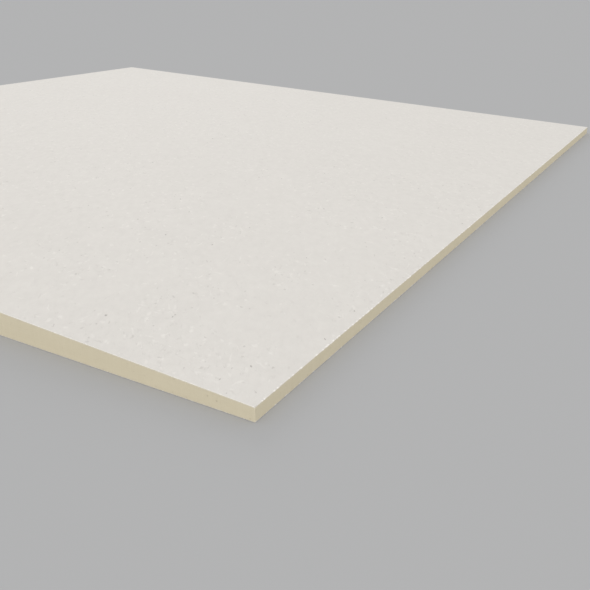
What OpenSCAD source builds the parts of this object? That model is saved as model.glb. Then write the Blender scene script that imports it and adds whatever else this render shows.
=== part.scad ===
// Tapered roof insulation board: a wedge of rigid foam with a thin facer bonded
// to its sloped face and another to its flat face, both trimmed flush with the
// foam on all four sides.
//
// The board lies on its flat face. X runs along the low edge, the slope rises
// along +Y, and the origin is at the middle of the flat face. Sizes are in
// millimetres.

/* [Board] */
// Run of the board up its slope, measured level from the low edge to the high edge
board_run = 1219.2; // [609.6:0.1:2438.4]
// Width of the board along its low edge
board_width = 1219.2; // [609.6:0.1:2438.4]
// Thickness at the low edge, both facers included
low_edge_t = 12.7; // [12.7:0.1:114.3]
// Rise of the sloped face over one foot of run
rise_per_foot = 12.7; // [1.5875, 3.175, 4.7625, 6.35, 9.525, 12.7]

/* [Facers] */
// Thickness of the facer on the sloped face, square to that face
top_facer_t = 0.8; // [0.3:0.05:2]
// Thickness of the facer on the flat face
bottom_facer_t = 0.8; // [0.3:0.05:2]

/* [Hidden] */

foot = 304.8;
slope_angle = atan(rise_per_foot / foot);
// The facer lies along the slope but its ends are cut plumb, so it is a little
// taller there than it is thick.
top_facer_plumb = top_facer_t / cos(slope_angle);

// Height of the sloped face above the flat face, at a distance from the low edge
function sloped_face(from_low_edge) = low_edge_t + from_low_edge * tan(slope_angle);

// The board's section from its low edge to its high edge, between an underside and
// a top that are each given by their height at the low edge and at the high edge
module layer_section(underside, top)
    polygon([
        [-board_run / 2, underside[0]],
        [board_run / 2, underside[1]],
        [board_run / 2, top[1]],
        [-board_run / 2, top[0]]
    ]);

// Carries a section across the full width of the board
module across_board()
    rotate([90, 0, 90])
        linear_extrude(height = board_width, center = true)
            children();

// Heights at the low edge and at the high edge of the faces between the layers
flat_face = [0, 0];
foam_underside = [bottom_facer_t, bottom_facer_t];
facer_top = [sloped_face(0), sloped_face(board_run)];
foam_top = [for (h = facer_top) h - top_facer_plumb];

// Closed-cell foam wedge that fills the board between its facers
module foam_core()
    color("#C8BFA7")
        across_board() layer_section(foam_underside, foam_top);

// Coated glass-mat facer on the sloped face
module top_facer()
    color("#DFDBD5")
        across_board() layer_section(foam_top, facer_top);

// Coated glass-mat facer on the flat face, which lies on the roof deck
module bottom_facer()
    color("#D6D2CB")
        across_board() layer_section(flat_face, foam_underside);

foam_core();
top_facer();
bottom_facer();
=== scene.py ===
import math

import bmesh
import bpy
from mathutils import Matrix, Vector


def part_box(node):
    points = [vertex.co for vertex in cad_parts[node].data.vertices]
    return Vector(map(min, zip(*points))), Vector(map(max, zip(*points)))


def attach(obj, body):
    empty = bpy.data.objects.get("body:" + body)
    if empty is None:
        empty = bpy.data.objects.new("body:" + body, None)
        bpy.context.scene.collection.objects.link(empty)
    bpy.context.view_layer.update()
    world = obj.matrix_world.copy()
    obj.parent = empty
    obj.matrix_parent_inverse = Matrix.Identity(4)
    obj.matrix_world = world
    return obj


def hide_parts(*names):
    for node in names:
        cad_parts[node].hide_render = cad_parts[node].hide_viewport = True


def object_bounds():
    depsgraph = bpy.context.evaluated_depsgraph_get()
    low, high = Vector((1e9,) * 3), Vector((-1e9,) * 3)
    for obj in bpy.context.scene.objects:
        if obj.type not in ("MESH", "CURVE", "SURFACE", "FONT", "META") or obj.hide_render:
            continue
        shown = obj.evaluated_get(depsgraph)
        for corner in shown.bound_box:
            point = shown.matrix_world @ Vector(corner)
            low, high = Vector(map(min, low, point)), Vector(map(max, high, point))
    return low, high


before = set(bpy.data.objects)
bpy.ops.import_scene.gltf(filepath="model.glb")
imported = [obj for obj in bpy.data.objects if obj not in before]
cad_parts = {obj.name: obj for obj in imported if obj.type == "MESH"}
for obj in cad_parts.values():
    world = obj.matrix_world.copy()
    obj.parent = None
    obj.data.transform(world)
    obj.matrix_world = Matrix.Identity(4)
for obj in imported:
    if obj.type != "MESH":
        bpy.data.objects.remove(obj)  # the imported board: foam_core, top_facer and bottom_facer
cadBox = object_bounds()  # taken before any CAD node is replaced
print("frame loaded:", ", ".join(sorted(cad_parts)))

mm = 0.001
boardLow, boardHigh = cadBox
foamLow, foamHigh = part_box("foam_core")
topFacerLow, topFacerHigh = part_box("top_facer")
bottomFacerLow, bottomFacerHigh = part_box("bottom_facer")

# The height of each face at the board's low edge and at its high edge.
topFacerPlumb = topFacerHigh.z - foamHigh.z  # the top facer's thickness, measured plumb
flatFace = (bottomFacerLow.z, bottomFacerLow.z)
foamUnderside = (foamLow.z, foamLow.z)
foamTop = (topFacerLow.z, foamHigh.z)
slopedFace = (topFacerLow.z + topFacerPlumb, topFacerHigh.z)


def heightAt(y, heights):
    along = (y - boardLow.y) / (boardHigh.y - boardLow.y)
    return heights[0] + (heights[1] - heights[0]) * along


class Wire:
    # A shader socket that Python sums can use. Each operator adds one Math node.
    def __init__(self, finish, socket):
        self.finish = finish
        self.socket = socket

    def other(self, name):
        # Another output of the same node.
        return Wire(self.finish, self.socket.node.outputs[name])

    def __add__(self, value):
        return self.finish.maths("ADD", self, value)

    def __radd__(self, value):
        return self.finish.maths("ADD", value, self)

    def __sub__(self, value):
        return self.finish.maths("SUBTRACT", self, value)

    def __rsub__(self, value):
        return self.finish.maths("SUBTRACT", value, self)

    def __mul__(self, value):
        return self.finish.maths("MULTIPLY", self, value)

    def __rmul__(self, value):
        return self.finish.maths("MULTIPLY", value, self)

    def __truediv__(self, value):
        return self.finish.maths("DIVIDE", self, value)

    def __rtruediv__(self, value):
        return self.finish.maths("DIVIDE", value, self)

    def __lt__(self, value):
        return self.finish.maths("LESS_THAN", self, value)

    def __gt__(self, value):
        return self.finish.maths("GREATER_THAN", self, value)

    def __abs__(self):
        return self.finish.maths("ABSOLUTE", self)


class Finish:
    # The nodes of one material, or of the world, as they are wired up.
    def __init__(self, owner):
        self.owner = owner
        owner.use_nodes = True
        self.tree = owner.node_tree
        self.tree.nodes.clear()

    def add(self, kind, settings=None, inputs=None, output=0):
        node = self.tree.nodes.new("ShaderNode" + kind)
        for setting, value in (settings or {}).items():
            setattr(node, setting, value)
        for socket, value in (inputs or {}).items():
            if isinstance(value, Wire):
                self.tree.links.new(value.socket, node.inputs[socket])
            else:
                node.inputs[socket].default_value = value
        return Wire(self, node.outputs[output]) if node.outputs else None

    def maths(self, operation, *values):
        return self.add("Math", {"operation": operation}, dict(enumerate(values)))

    def vector(self, operation, first, second):
        return self.add("VectorMath", {"operation": operation}, {0: first, 1: second})

    def mix(self, share, first, second):
        settings = {"data_type": "RGBA", "clamp_factor": False}
        return self.add("Mix", settings, {0: share, 6: first, 7: second}, 2)

    def place(self):
        # Where the point lies on the board, in millimetres.
        return self.vector("DIVIDE", self.add("TexCoord", output="Object"), (mm, mm, mm))

    def drawn(self, place, degrees, scale):
        # Turns a pattern to lie this way over the face, and draws it out.
        inputs = {"Vector": place, "Rotation": (0, 0, math.radians(degrees)), "Scale": scale}
        return self.add("Mapping", {"vector_type": "TEXTURE"}, inputs)

    def noise(self, place, size, detail=2, roughness=0.5):
        # A soft pattern that varies about once in each size, in millimetres.
        sizes = size if isinstance(size, tuple) else (size, size, size)
        spot = self.vector("DIVIDE", place, sizes)
        inputs = {"Vector": spot, "Scale": 1, "Detail": detail, "Roughness": roughness}
        return self.add("TexNoise", None, inputs)

    def sway(self, place, size, detail=2, roughness=0.5):
        # The same pattern, swinging about 0.
        return self.noise(place, size, detail, roughness) - 0.5

    def ragged(self, place, size, reach):
        # Pushes a pattern about by roughly this reach, so that its outlines are uneven.
        push = self.vector("SUBTRACT", self.noise(place, size).other("Color"), (0.5, 0.5, 0.5))
        return self.vector("ADD", place, self.vector("MULTIPLY", push, (reach, reach, reach)))

    def layer(self, place, number):
        # The same pattern read from another spot, so that no two layers of marks are alike.
        startX, stepX, stepY = 203, -77, 91
        return self.vector("ADD", place, (startX + stepX * number, stepY * number, 0))

    def fade(self, value, start, end, before=0, after=1):
        # One number up to start, another from end on, and an even change between them.
        inputs = {
            "Value": value, "From Min": start, "From Max": end, "To Min": before, "To Max": after,
        }
        return self.add("MapRange", {"interpolation_type": "SMOOTHSTEP"}, inputs)

    def marks(self, place, kind, crowding=1):
        # One mark at each point of a loose net over x and y, each with its own size, angle and bow.
        net = self.add(
            "TexVoronoi",
            {"voronoi_dimensions": "2D"},
            {"Vector": place, "Scale": 1 / kind["spacing"]},
            "Position",
        )
        x = self.add("SeparateXYZ", None, {0: self.vector("SUBTRACT", place, net)}, "X")
        y = x.other("Y")
        turn = self.add("SeparateColor", None, {0: net.other("Color")}, "Red")
        odds, size = turn.other("Green"), turn.other("Blue")
        angle = turn * (2 * math.pi)
        cosine, sine = self.maths("COSINE", angle), self.maths("SINE", angle)
        along = (x * cosine + y * sine) / kind["halfLength"]
        across = (y * cosine - x * sine) / kind["halfWidth"]
        bowed = across + along * along * (size - 0.5) * kind.get("bow", 0)
        reach = self.maths("SQRT", along * along + bowed * bowed)
        smallest = 0.4  # the smallest mark's share of the full size
        solid = 0.3  # how far out from its middle a mark has its full strength
        inside = self.fade(reach / (size * (1 - smallest) + smallest), solid, 1, 1, 0)
        return inside * (odds < crowding * kind["share"])

    def close(self, colour, roughness, height):
        # Height is in millimetres above the face.
        look = {
            "Base Color": colour,
            "Roughness": roughness,
            "Normal": self.add("Bump", None, {"Height": height, "Distance": mm, "Strength": 1}),
            "Specular IOR Level": 0.2,  # chalky, with hardly any shine
        }
        self.add("OutputMaterial", None, {"Surface": self.add("BsdfPrincipled", None, look)})
        return self.owner


def opaque(colour):
    return (*colour, 1.0)


# Sizes are in millimetres: a mark's spacing, half its length and half its width, and its height above
# the face. A mark's tone pulls towards the pale colour, or, where it is below 0, towards the dark
# colour: grit, and painted shade in dents and pinholes.
facerLook = {
    "coating": (0.739, 0.713, 0.674),  # off-white mineral coating on a glass mat
    "pale": (0.930, 0.903, 0.855),  # where bare glass or thick coating shows, and the painted highlight along the trimmed edges
    # dark grit, also used as painted shade inside dents and pinholes
    "grit": (0.350, 0.330, 0.300),
    "roughness": 0.82,
    "roughnessVaries": 0.12,
    "drawnWay": 35,  # degrees from +X: the way in which the mat's marks are drawn out
    "drawnOut": (1.35, 0.82, 1),  # along that way, across it, and up
    "cloudSize": 130,
    "cloudTone": 0.08,
    "driftSize": 34,
    "driftTone": 0.10,
    "mottleSize": 10,
    "mottleTone": 0.46,
    "mottleHeight": 0.24,
    "grainSize": 1.2,
    "grainTone": 0.10,
    "grainHeight": 0.030,
    "fibreLayers": 4,
    "fibre": {
        "spacing": 9, "halfLength": 7, "halfWidth": 0.13, "bow": 9, "share": 0.9,
        "tone": 0.13, "height": 0.05,
    },
    "unevenSize": 2.9,  # how often a mark's outline wanders
    "unevenReach": 4.2,
    "crowdSize": 60,  # marks gather in patches about this far apart
    "crowdEdge": (0.38, 0.62),  # where a patch begins and where it is at its fullest
    "crowding": (0.3, 1.7),  # how many marks there are, between the patches and in them
    "marks": [
        {  # bundles of glass
            "spacing": 22, "halfLength": 8.5, "halfWidth": 1.3, "bow": 4, "share": 0.5,
            "tone": 0.25, "height": 0.05,
        },
        {  # thick drops of coating
            "spacing": 16, "halfLength": 4.6, "halfWidth": 2.9, "share": 0.5,
            "tone": 0.25, "height": 0.10,
        },
        {  # nubs
            "spacing": 13, "halfLength": 2.0, "halfWidth": 1.4, "share": 0.5,
            "tone": 0.18, "height": 0.19,
        },
        # the dark tone of the dents is painted shade
        {  # dents
            "spacing": 14, "halfLength": 3.1, "halfWidth": 2.0, "share": 0.5,
            "tone": -0.06, "height": -0.17,
        },
        # the dark tone of the pinholes is painted shade
        {  # pinholes
            "spacing": 20, "halfLength": 1.8, "halfWidth": 1.3, "share": 0.45,
            "tone": -0.27, "height": -0.20,
        },
        {  # grit
            "spacing": 34, "halfLength": 3.9, "halfWidth": 1.7, "share": 0.5,
            "tone": -0.23, "height": 0.02,
        },
        {  # dark flecks
            "spacing": 71, "halfLength": 2.0, "halfWidth": 1.5, "share": 0.7,
            "tone": -0.68, "height": 0.02,
        },
        {  # scuffs
            "spacing": 36, "halfLength": 8.5, "halfWidth": 1.2, "bow": 4, "share": 0.5,
            "tone": -0.10, "height": -0.04,
        },
    ],
    "fray": 2.0,  # in from the trimmed edges, where torn coating and a painted highlight show pale
    "fraySolid": 0.8,  # and where all of the strip shows fully
    "frayWander": 6.8,  # how often the strip's inner line wanders
    "fraySize": 3.4,
    "frayEdge": (0.52, 0.62),  # how torn a spot is before it shows, and before it shows fully
    "fraySides": 0.25,  # how pale the torn coating and painted highlight are along the tapered edges
    "frayEnds": 1.0,  # and along the low and the high edge
}


def tornRimAndHighlight(finish, place):
    # Torn coating and a painted highlight, pale in a narrow strip along the trimmed edges of the
    # sheet.
    wobble = finish.sway(place, facerLook["frayWander"]) * facerLook["fray"]
    x = finish.add("SeparateXYZ", None, {0: place}, "X")
    inFromSide = boardHigh.x / mm - abs(x) + wobble
    inFromEnd = boardHigh.y / mm - abs(x.other("Y")) + wobble
    strip = (facerLook["fraySolid"], facerLook["fray"])
    alongSides = finish.fade(inFromSide, *strip, facerLook["fraySides"], 0)
    alongEnds = finish.fade(inFromEnd, *strip, facerLook["frayEnds"], 0)
    torn = finish.fade(finish.noise(place, facerLook["fraySize"]), *facerLook["frayEdge"])
    return torn * (alongSides + alongEnds)


def facerFinish():
    finish = Finish(bpy.data.materials.new("coatedGlassMat"))
    place = finish.place()
    sheet = finish.drawn(place, facerLook["drawnWay"], facerLook["drawnOut"])
    clouds = finish.sway(sheet, facerLook["cloudSize"], detail=3)
    drift = finish.sway(sheet, facerLook["driftSize"])
    mottle = finish.sway(sheet, facerLook["mottleSize"], detail=4, roughness=0.6)
    grain = finish.sway(sheet, facerLook["grainSize"], roughness=0.6)
    tone = clouds * facerLook["cloudTone"] + drift * facerLook["driftTone"]
    tone = tone + mottle * facerLook["mottleTone"] + grain * facerLook["grainTone"]
    height = mottle * facerLook["mottleHeight"] + grain * facerLook["grainHeight"]

    fibre = facerLook["fibre"]
    for number in range(facerLook["fibreLayers"]):
        strands = finish.marks(finish.layer(sheet, number), fibre)
        tone = tone + strands * fibre["tone"]
        height = height + strands * fibre["height"]

    # the dark colour's share: grit, flecks and scuffs, and painted shade in dents and pinholes
    grit = 0
    uneven = finish.ragged(sheet, facerLook["unevenSize"], facerLook["unevenReach"])
    patches = finish.noise(sheet, facerLook["crowdSize"], detail=1)
    crowding = finish.fade(patches, *facerLook["crowdEdge"], *facerLook["crowding"])
    for number, kind in enumerate(facerLook["marks"]):
        mark = finish.marks(finish.layer(uneven, number), kind, crowding)
        height = height + mark * kind["height"]
        if kind["tone"] > 0:
            tone = tone + mark * kind["tone"]
        else:
            grit = mark * -kind["tone"] + grit

    # painted highlight and torn coating along the trimmed edges
    tone = tone + tornRimAndHighlight(finish, place)
    colour = finish.mix(tone, opaque(facerLook["coating"]), opaque(facerLook["pale"]))
    colour = finish.mix(grit, colour, opaque(facerLook["grit"]))
    roughness = grain * facerLook["roughnessVaries"] + facerLook["roughness"]
    return finish.close(colour, roughness, height)


cutMatLook = {
    "binder": (0.605, 0.566, 0.470),  # the mat where it is trimmed, seen edge on
    # the pale end: glass fibres, and torn coating and painted highlight at the rim
    "glass": (0.739, 0.713, 0.674),
    "fibreSize": (0.9, 0.9, 0.25),
    "fibreTone": 0.8,
    "fibreHeight": 0.05,
    "tornTone": 0.9,  # how far the torn coating and painted highlight reach over the cut
    "roughness": 0.92,
    "roughnessVaries": 0.05,
}


def cutMatFinish():
    finish = Finish(bpy.data.materials.new("trimmedMatEdge"))
    place = finish.place()
    fibres = finish.sway(place, cutMatLook["fibreSize"], detail=3)
    # the rim's torn coating and painted highlight reach over the cut edge too
    tone = fibres * cutMatLook["fibreTone"] + tornRimAndHighlight(finish, place) * cutMatLook["tornTone"]
    colour = finish.mix(tone, opaque(cutMatLook["binder"]), opaque(cutMatLook["glass"]))
    roughness = fibres * cutMatLook["roughnessVaries"] + cutMatLook["roughness"]
    return finish.close(colour, roughness, fibres * cutMatLook["fibreHeight"])


foamLook = {
    "foam": (0.590, 0.535, 0.402),  # cream foam, as sawn
    "shade": (0.440, 0.385, 0.262),  # inside pits
    "light": (0.660, 0.606, 0.472),  # broken cell walls that catch the light
    "roughness": 0.92,
    "roughnessVaries": 0.04,
    "cloudSize": (40, 40, 16),
    "cloudTone": 0.30,
    "bandSize": (120, 120, 2.4),  # layers left as the foam rose
    "bandTone": 0.40,
    "bladeSize": (1.5, 1.5, 60),  # upright lines left by the saw
    "bladeTone": 0.45,
    "bladeHeight": 0.09,
    "cellSize": 0.45,
    "cellTone": 0.28,
    "cellHeight": 0.10,
    "unevenSize": 1.1,  # how often a pit's outline wanders
    "unevenReach": 0.9,
    "pits": [
        {
            "spacing": 2.3, "halfLength": 0.28, "halfWidth": 0.22, "share": 0.6,
            "tone": 0.35, "height": -0.15,
        },
        {
            "spacing": 6.5, "halfLength": 0.60, "halfWidth": 0.42, "share": 0.4,
            "tone": 0.38, "height": -0.32,
        },
        {
            "spacing": 25, "halfLength": 1.3, "halfWidth": 0.7, "share": 0.3,
            "tone": 0.42, "height": -0.45,
        },
    ],
}


def foamFinish():
    finish = Finish(bpy.data.materials.new("sawnFoam"))
    place = finish.place()
    clouds = finish.sway(place, foamLook["cloudSize"], detail=3)
    bands = finish.sway(place, foamLook["bandSize"], detail=3)
    blade = finish.sway(place, foamLook["bladeSize"])
    cellNet = finish.vector("DIVIDE", place, (foamLook["cellSize"],) * 3)
    cells = finish.add("TexVoronoi", None, {"Vector": cellNet, "Scale": 1}, "Distance") - 0.5
    light = clouds * foamLook["cloudTone"] + bands * foamLook["bandTone"]
    light = light + blade * foamLook["bladeTone"] - cells * foamLook["cellTone"]
    height = blade * foamLook["bladeHeight"] + cells * foamLook["cellHeight"]

    # On each sawn face, x + y runs along the face and z up it.
    uneven = finish.ragged(place, foamLook["unevenSize"], foamLook["unevenReach"])
    x = finish.add("SeparateXYZ", None, {0: uneven}, "X")
    sawnFace = finish.add("CombineXYZ", None, {"X": x + x.other("Y"), "Y": x.other("Z")})
    shade = 0
    for number, kind in enumerate(foamLook["pits"]):
        pits = finish.marks(finish.layer(sawnFace, number), kind)
        shade = pits * kind["tone"] + shade
        height = height + pits * kind["height"]
    colour = finish.mix(light, opaque(foamLook["foam"]), opaque(foamLook["light"]))
    colour = finish.mix(shade, colour, opaque(foamLook["shade"]))
    roughness = clouds * foamLook["roughnessVaries"] + foamLook["roughness"]
    return finish.close(colour, roughness, height)


coatedMat = facerFinish()
cutMat = cutMatFinish()
sawnFoam = foamFinish()
print("finishes wired")


def pick(kind, wanted):
    # In edit mode, selects the active piece's vertices, edges or faces that pass the test.
    bpy.ops.mesh.select_mode(type=kind)
    bpy.ops.mesh.select_all(action="DESELECT")
    mesh = bmesh.from_edit_mesh(bpy.context.edit_object.data)
    items = {"VERT": mesh.verts, "EDGE": mesh.edges, "FACE": mesh.faces}[kind]
    for item in items:
        if wanted(item):
            item.select_set(True)
    mesh.select_flush_mode()
    bmesh.update_edit_mesh(bpy.context.edit_object.data)


def isUpright(edge):
    steep = 100  # an upright edge climbs this many times as far as it leans
    run = edge.verts[1].co - edge.verts[0].co
    return abs(run.z) > steep * max(abs(run.x), abs(run.y))


def sidesOf(point, reach=0.01 * mm):
    # Which of the board's four edges this point lies on.
    gaps = {
        "lowX": point.x - boardLow.x,
        "highX": boardHigh.x - point.x,
        "lowY": point.y - boardLow.y,
        "highY": boardHigh.y - point.y,
    }
    return [side for side, gap in gaps.items() if gap < reach]


def onOneSide(edge):
    return bool(set(sidesOf(edge.verts[0].co)) & set(sidesOf(edge.verts[1].co)))


def startSlab(name, underside, top):
    # A slab over the whole board between two sloping planes, left in edit mode.
    halfWay = 0.5  # up the cube that it is made from
    bpy.ops.object.select_all(action="DESELECT")
    bpy.ops.mesh.primitive_cube_add(size=1, calc_uvs=False, location=(0, 0, halfWay))
    piece = bpy.context.object
    piece.name = piece.data.name = name
    piece.scale = (boardHigh.x - boardLow.x, boardHigh.y - boardLow.y, 1)
    bpy.ops.object.transform_apply(location=True, rotation=True, scale=True)
    bpy.ops.object.mode_set(mode="EDIT")
    for isTop, heights in ((False, underside), (True, top)):
        for atHighEdge, height in enumerate(heights):
            pick("VERT", lambda v: (v.co.z > halfWay) == isTop and (v.co.y > 0) == bool(atHighEdge))
            bpy.ops.transform.translate(value=(0, 0, height - isTop))
    return piece


def roundCorners(radius):
    pick("EDGE", lambda e: isUpright(e) and len(sidesOf(e.verts[0].co)) == 2)
    bpy.ops.mesh.bevel(offset=radius, segments=2, affect="EDGES")


def markSides(piece, cornerRadius):
    # One vertex group for each of the board's four edges, for the reliefs below.
    reach = cornerRadius * 1.01  # so that a rounded corner belongs to both of its edges
    bpy.ops.object.mode_set(mode="OBJECT")
    members = {"lowX": [], "highX": [], "lowY": [], "highY": []}
    for vertex in piece.data.vertices:
        for side in sidesOf(vertex.co, reach):
            members[side].append(vertex.index)
    for side, indices in members.items():
        piece.vertex_groups.new(name=side).add(indices, 1.0, "REPLACE")


def clouds(name, size):
    texture = bpy.data.textures.new(name, type="CLOUDS")
    texture.noise_scale = size
    return texture


def relief(piece, group, axis, depth, texture, across=None):
    # Moves a group of points back along an axis by up to this depth, or forward where it is below 0.
    modifier = piece.modifiers.new(texture.name + group, "DISPLACE")
    modifier.texture = texture
    modifier.texture_coords = "OBJECT" if across else "LOCAL"
    modifier.texture_coords_object = across
    modifier.vertex_group = group
    modifier.direction = axis
    modifier.mid_level = 1.0
    modifier.strength = depth
    bpy.ops.object.modifier_apply(modifier=modifier.name)


def sinkSides(piece, depth, texture, across=None):
    for axis in ("X", "Y"):
        relief(piece, "low" + axis, axis, -depth, texture, across)
        relief(piece, "high" + axis, axis, depth, texture, across)


def lookOf(normal):
    # Which way a face looks: up, down, or out from one of the board's four edges.
    nearlyFlat = 0.5  # a face is up or down where its normal climbs by more than this
    if abs(normal.z) > nearlyFlat:
        return "up" if normal.z > 0 else "down"
    if abs(normal.x) > abs(normal.y):
        return "highX" if normal.x > 0 else "lowX"
    return "highY" if normal.y > 0 else "lowY"


runs = boardHigh - boardLow
alongAndUp = {  # a point's place on each side, seen from outside: from 0 to 1 along it, and up it
    "up": lambda x, y, height: (x, y * runs.y),
    "down": lambda x, y, height: (1 - x, y * runs.y),
    "lowY": lambda x, y, height: (x, height),
    "highX": lambda x, y, height: (y, height),
    "highY": lambda x, y, height: (1 - x, height),
    "lowX": lambda x, y, height: (1 - y, height),
}


def placeOn(look, point, underside):
    x, y = (point.x - boardLow.x) / runs.x, (point.y - boardLow.y) / runs.y
    return alongAndUp[look](x, y, point.z - heightAt(point.y, underside))


def layFlat(piece, underside, lengths, shares, gap=0.004):
    # Unwraps the piece in rows, one for each big face and one for each length that an edge is cut
    # into.
    mesh = piece.data
    rows = {}
    for face in mesh.polygons:
        look = lookOf(face.normal)
        parts = 1 if look in ("up", "down") else lengths
        along = placeOn(look, face.center, underside)[0]
        part = min(max(math.floor(along * parts), 0), parts - 1)
        row = rows.setdefault((look, part), {})
        for corner in face.loop_indices:
            point = mesh.vertices[mesh.loops[corner].vertex_index].co
            along, up = placeOn(look, point, underside)
            row[corner] = (along * parts - part, up)

    low = {name: min(up for along, up in row.values()) for name, row in rows.items()}
    tall = {name: max(up for along, up in row.values()) - low[name] for name, row in rows.items()}
    share = {name: tall[name] * shares.get(name[0], shares["edges"]) for name in rows}
    scale = (1 - gap * (len(rows) + 1)) / sum(share.values())
    flat = mesh.uv_layers.new(name="OFBake")  # the UV map's name
    foot = gap
    for name, row in sorted(rows.items()):
        for corner, (along, up) in row.items():
            rise = (up - low[name]) / tall[name] * share[name] * scale
            flat.uv[corner].vector = (gap + along * (1 - 2 * gap), foot + rise)
        foot += share[name] * scale + gap


def settle(piece, node):
    piece.vertex_groups.clear()
    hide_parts(node)
    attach(piece, "root")
    triangles = sum(len(face.vertices) - 2 for face in piece.data.polygons)
    print(piece.name, "has", triangles, "triangles")


foamCut = {
    "cells": 60,  # across the two hidden faces under the facers
    "columns": 20,  # in each of those cells, along the sawn edges
    "rows": 14,  # up the sawn edges
    "cornerRadius": 0.15 * mm,
    "wanderSize": 28 * mm,  # how the saw cut wanders
    "wanderDepth": 0.30 * mm,
    "bladeSize": (3.2 * mm, 3.2 * mm, 70 * mm),
    "bladeDepth": 0.07 * mm,
    "smoothBelow": 25,  # degrees between two faces
    "lengths": 3,  # that each edge is unwrapped in
    "shares": {"up": 0.02, "down": 0.02, "edges": 1},  # little room for the two hidden faces
}


def makeFoam():
    piece = startSlab("foamCore", foamUnderside, foamTop)
    pick("EDGE", lambda e: not isUpright(e))
    bpy.ops.mesh.subdivide(number_cuts=foamCut["cells"] - 1)
    pick("EDGE", lambda e: not isUpright(e) and onOneSide(e))
    bpy.ops.mesh.subdivide(number_cuts=foamCut["columns"] - 1, ngon=False)
    pick("EDGE", isUpright)
    bpy.ops.mesh.subdivide(number_cuts=foamCut["rows"] - 1)
    roundCorners(foamCut["cornerRadius"])
    markSides(piece, foamCut["cornerRadius"])

    bladeFrame = bpy.data.objects.new("bladeFrame", None)
    bpy.context.scene.collection.objects.link(bladeFrame)
    bladeFrame.scale = foamCut["bladeSize"]
    bpy.context.view_layer.update()
    sinkSides(piece, foamCut["wanderDepth"], clouds("wander", foamCut["wanderSize"]))
    sinkSides(piece, foamCut["bladeDepth"], clouds("blade", 1.0), bladeFrame)
    bpy.data.objects.remove(bladeFrame)
    bpy.ops.object.shade_smooth_by_angle(angle=math.radians(foamCut["smoothBelow"]))
    piece.data.materials.append(sawnFoam)
    layFlat(piece, foamUnderside, foamCut["lengths"], foamCut["shares"])
    settle(piece, "foam_core")


facerSheet = {
    "cells": 100,  # across the sheet, each cut in two again
    "cornerRadius": 0.15 * mm,
    "arris": 0.25 * mm,  # how far the trimmed edge is rounded over
    "rim": 0.30 * mm,  # a narrow strip inside it that keeps the rest of the face flat
    "waveSize": 70 * mm,
    "waveDepth": 0.14 * mm,
    "trimSize": 14 * mm,
    "trimDepth": 0.18 * mm,
    "smoothBelow": 50,
    "shares": {"outer": 1, "inner": 0.04, "edges": 12},  # of the room where it is unwrapped
}


def makeFacer(name, node, underside, top, outerIsTop):
    piece = startSlab(name, underside, top)
    outer, inner = (top, underside) if outerIsTop else (underside, top)
    outerLook, innerLook = ("up", "down") if outerIsTop else ("down", "up")

    def isOuter(point):
        return abs(point.z - heightAt(point.y, outer)) < abs(point.z - heightAt(point.y, inner))

    pick("EDGE", lambda e: not isUpright(e))
    bpy.ops.mesh.subdivide(number_cuts=facerSheet["cells"] - 1)
    pick("EDGE", lambda e: not isUpright(e))
    bpy.ops.mesh.subdivide(number_cuts=1)
    roundCorners(facerSheet["cornerRadius"])
    pick("FACE", lambda f: lookOf(f.normal) == outerLook)
    bpy.ops.mesh.inset(thickness=facerSheet["arris"] + facerSheet["rim"], depth=0)
    pick("EDGE", lambda e: onOneSide(e) and not isUpright(e) and isOuter(e.verts[0].co))
    bpy.ops.mesh.bevel(offset=facerSheet["arris"], segments=2, affect="EDGES")
    markSides(piece, facerSheet["cornerRadius"])

    outerPoints = [v.index for v in piece.data.vertices if isOuter(v.co)]
    piece.vertex_groups.new(name="outer").add(outerPoints, 1.0, "REPLACE")
    inward = 1 if outerIsTop else -1
    waves = clouds("waves", facerSheet["waveSize"])
    relief(piece, "outer", "Z", inward * facerSheet["waveDepth"], waves)
    sinkSides(piece, facerSheet["trimDepth"], clouds("trim", facerSheet["trimSize"]))
    bpy.ops.object.shade_smooth_by_angle(angle=math.radians(facerSheet["smoothBelow"]))

    piece.data.materials.append(coatedMat)
    piece.data.materials.append(cutMat)
    for face in piece.data.polygons:
        face.material_index = 0 if lookOf(face.normal) == outerLook else 1
    shares = facerSheet["shares"]
    shares = {outerLook: shares["outer"], innerLook: shares["inner"], "edges": shares["edges"]}
    layFlat(piece, underside, 1, shares)
    settle(piece, node)


makeFoam()
makeFacer("topFacer", "top_facer", foamTop, slopedFace, True)
makeFacer("bottomFacer", "bottom_facer", flatFace, foamUnderside, False)


studio = {
    "floor": (0.46, 0.463, 0.468),
    "floorSize": 160,
    "floorGap": 0.3 * mm,  # under the board
    "ledge": 1 * mm,  # the floor is open under the board but for this much at its edges
    "ambient": 0.735,
    "lamps": {  # each lamp's pull towards +X, +Y and up, and its colour
        "key": ((-0.41, -0.30, 0.19), (1.02, 1.00, 0.975)),
        "fill": ((0.16, 0.16, 0.05), (0.98, 1.00, 1.02)),
    },
    "softness": 35,  # degrees
    "lampDistance": 3,
}


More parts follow.
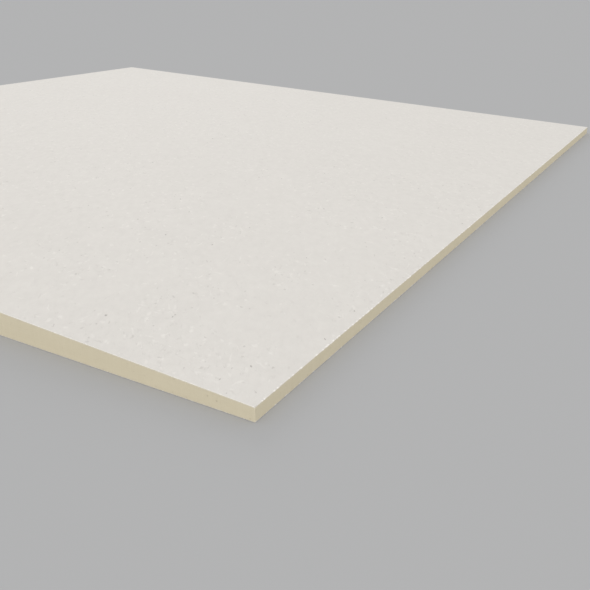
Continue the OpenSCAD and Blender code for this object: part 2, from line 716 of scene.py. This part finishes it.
def makeFloor():
    # The opening and the see-through back let the underside be looked at from below.
    bpy.ops.object.select_all(action="DESELECT")
    bpy.ops.mesh.primitive_plane_add(size=studio["floorSize"], location=(0, 0, -studio["floorGap"]))
    floor = bpy.context.object
    floor.name = "floor"
    bpy.ops.object.transform_apply(location=True, rotation=True, scale=True)
    bpy.ops.object.mode_set(mode="EDIT")
    bpy.ops.mesh.select_all(action="SELECT")
    bpy.ops.mesh.inset(thickness=studio["floorSize"] / 2 - boardHigh.x + studio["ledge"], depth=0)
    bpy.ops.mesh.delete(type="FACE")
    bpy.ops.object.mode_set(mode="OBJECT")

    finish = Finish(bpy.data.materials.new("paleFloor"))
    paint = finish.add("BsdfDiffuse", None, {"Color": opaque(studio["floor"])})
    fromBelow = finish.add("NewGeometry", output="Backfacing")
    seen = finish.add("LightPath", output="Is Camera Ray")
    clear = finish.add("BsdfTransparent")
    surface = finish.add("MixShader", None, {0: fromBelow * seen, 1: paint, 2: clear})
    finish.add("OutputMaterial", None, {"Surface": surface})
    floor.data.materials.append(finish.owner)


def makeWorld():
    # White light all round, and the floor's colour where the camera looks past the floor.
    world = bpy.data.worlds.new("studio")
    bpy.context.scene.world = world
    finish = Finish(world)
    white = {"Color": opaque((1, 1, 1)), "Strength": studio["ambient"]}
    litFloor = []
    for channel, paint in enumerate(studio["floor"]):
        lamps = sum(pull[2] * colour[channel] for pull, colour in studio["lamps"].values())
        litFloor.append(paint * (studio["ambient"] + lamps))
    backdrop = {"Color": opaque(litFloor), "Strength": 1}
    looks = {
        0: finish.add("LightPath", output="Is Camera Ray"),
        1: finish.add("Background", None, white),
        2: finish.add("Background", None, backdrop),
    }
    finish.add("OutputWorld", None, {"Surface": finish.add("MixShader", None, looks)})


def makeLamps():
    for name, (pull, colour) in studio["lamps"].items():
        towards = Vector(pull)
        lamp = bpy.data.lights.new(name, "SUN")
        lamp.energy = towards.length * math.pi  # so that a face square to it gets this much light
        lamp.color = colour
        lamp.angle = math.radians(studio["softness"])
        holder = bpy.data.objects.new(name, lamp)
        bpy.context.scene.collection.objects.link(holder)
        holder.rotation_euler = towards.to_track_quat("Z", "Y").to_euler()
        holder.location = towards.normalized() * studio["lampDistance"]


lens = {
    "focal": 44.1,  # millimetres, on a sensor this wide
    "sensor": 36,
    "azimuth": -59.35,
    "pitch": 23.54,
    "fromNearCorner": (-0.3562, -0.2436, 0.2859),  # from the low edge's corner on the floor
    "sees": (0.01, 400),
}


def makeCamera():
    azimuth, pitch = math.radians(lens["azimuth"]), math.radians(lens["pitch"])
    ahead = Vector(
        (-math.sin(azimuth) * math.cos(pitch), math.cos(azimuth) * math.cos(pitch), -math.sin(pitch))
    )
    camera = bpy.data.cameras.new("camera")
    camera.lens = lens["focal"]
    camera.sensor_width = lens["sensor"]
    camera.clip_start, camera.clip_end = lens["sees"]
    holder = bpy.data.objects.new("camera", camera)
    bpy.context.scene.collection.objects.link(holder)
    holder.location = Vector((boardLow.x, boardLow.y, boardLow.z)) + Vector(lens["fromNearCorner"])
    holder.rotation_euler = ahead.to_track_quat("-Z", "Y").to_euler()
    bpy.context.scene.camera = holder


makeFloor()
makeWorld()
makeLamps()
makeCamera()
bpy.context.scene.view_settings.view_transform = "Standard"
print("studio ready")
